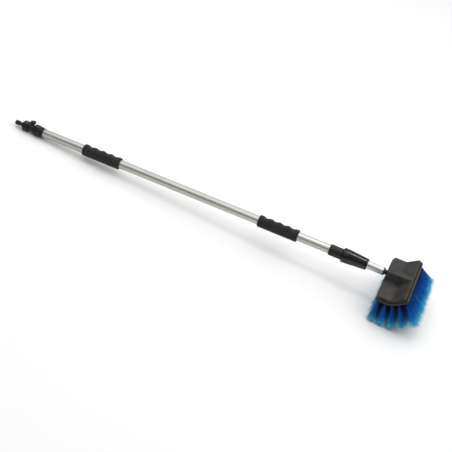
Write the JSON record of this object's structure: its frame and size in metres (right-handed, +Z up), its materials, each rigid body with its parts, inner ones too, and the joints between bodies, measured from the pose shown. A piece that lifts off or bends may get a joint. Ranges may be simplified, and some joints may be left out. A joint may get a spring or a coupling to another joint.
{
  "type": "telescopic wash brush",
  "caption": "Telescopic water-fed wash brush: two-section aluminium pole with foam grips, twist lock, hose nipple, ball valve and an angled bristle head.",
  "frame": {"origin": "bottom centre of the brush's box: on the floor it lies on, midway along it, in the plane of the pole", "axes": "+X runs along the floor from the hose nipple towards the brush head, +Y across it along the head, +Z up; the pole rises 3.8 degrees towards the brush, because it rests on its inlet nut and bristle tips"},
  "size_m": [1.654, 0.2968, 0.1373],
  "materials": {
    "connector_plastic": "dark grey-black moulded nylon, satin",
    "lock_plastic": "black moulded plastic, satin",
    "sleeve_plastic": "glossy black moulded plastic",
    "outer_aluminium": "satin anodised drawn tube",
    "inner_aluminium": "bright anodised drawn tube",
    "grip_foam": "soft matt black foam rubber",
    "seal_rubber": "smooth black rubber",
    "seat_plastic": "smooth white seal plastic",
    "ball_chrome": "polished plated ball",
    "stem_brass": "machined brass",
    "fastener_steel": "stainless steel, satin",
    "head_plastic": "dark warm-grey moulded plastic with a fine grain",
    "block_plastic": "dark grey-brown moulded plastic",
    "bush_plastic": "pale grey nylon",
    "bristle_blue": "blue polyester filament with paler split tips"
  },
  "bodies": {
    "handle_pole": {"front_grip": "grip_foam", "hose_nipple": "connector_plastic", "inlet_nut": "connector_plastic", "inlet_seat": "seat_plastic", "inlet_washer": "seal_rubber", "lock_base": "lock_plastic", "lock_collet": "bush_plastic", "nipple_seal": "seal_rubber", "outer_tube": "outer_aluminium", "outlet_nut": "connector_plastic", "outlet_seat": "seat_plastic", "outlet_washer": "seal_rubber", "plug_lock_ring": "connector_plastic", "plug_seals": "seal_rubber", "pole_end_plug": "lock_plastic", "rear_grip": "grip_foam", "valve_body": "connector_plastic"},
    "valve_lever": {"valve_lever": "connector_plastic", "valve_stem": "stem_brass", "valve_ball": "ball_chrome", "stem_seal": "seal_rubber", "lever_screw": "fastener_steel"},
    "lock_sleeve": {"lock_sleeve": "sleeve_plastic", "wiper_ring": "seal_rubber"},
    "tail_guide": {"tail_bush": "bush_plastic"},
    "inner_pole": {"inner_tube": "inner_aluminium", "tail_piston": "bush_plastic", "piston_seals": "seal_rubber", "bush_stop_ring": "fastener_steel", "brush_adapter": "lock_plastic", "adapter_seal": "seal_rubber", "adapter_pins": "fastener_steel", "socket_washer": "seal_rubber", "head_cover": "head_plastic", "cover_gasket": "seal_rubber", "bristle_block": "block_plastic", "cover_screws": "fastener_steel", "bristle_row_1": "bristle_blue", "bristle_row_2": "bristle_blue", "bristle_row_3": "bristle_blue", "bristle_row_4": "bristle_blue", "bristle_row_5": "bristle_blue"}
  },
  "joints": [
    {"name": "telescopic_slide", "type": "slide", "parent": "handle_pole", "child": "tail_guide", "axis": [0.9978, 0, 0.067], "range_m": [0, 1]},
    {"name": "inner_pole_turn", "type": "hinge", "parent": "tail_guide", "child": "inner_pole", "pos_m": [0.16922, 0, 0.08176], "axis": [0.9978, 0, 0.067], "continuous": true},
    {"name": "lock_sleeve_twist", "type": "hinge", "parent": "handle_pole", "child": "lock_sleeve", "pos_m": [0.54537, 0, 0.10702], "axis": [0.9978, 0, 0.067], "range_deg": [0, 90]},
    {"name": "valve_lever_turn", "type": "hinge", "parent": "handle_pole", "child": "valve_lever", "pos_m": [-0.75819, 0, 0.01947], "axis": [-0.067, 0, 0.9978], "range_deg": [0, 90]}
  ]
}
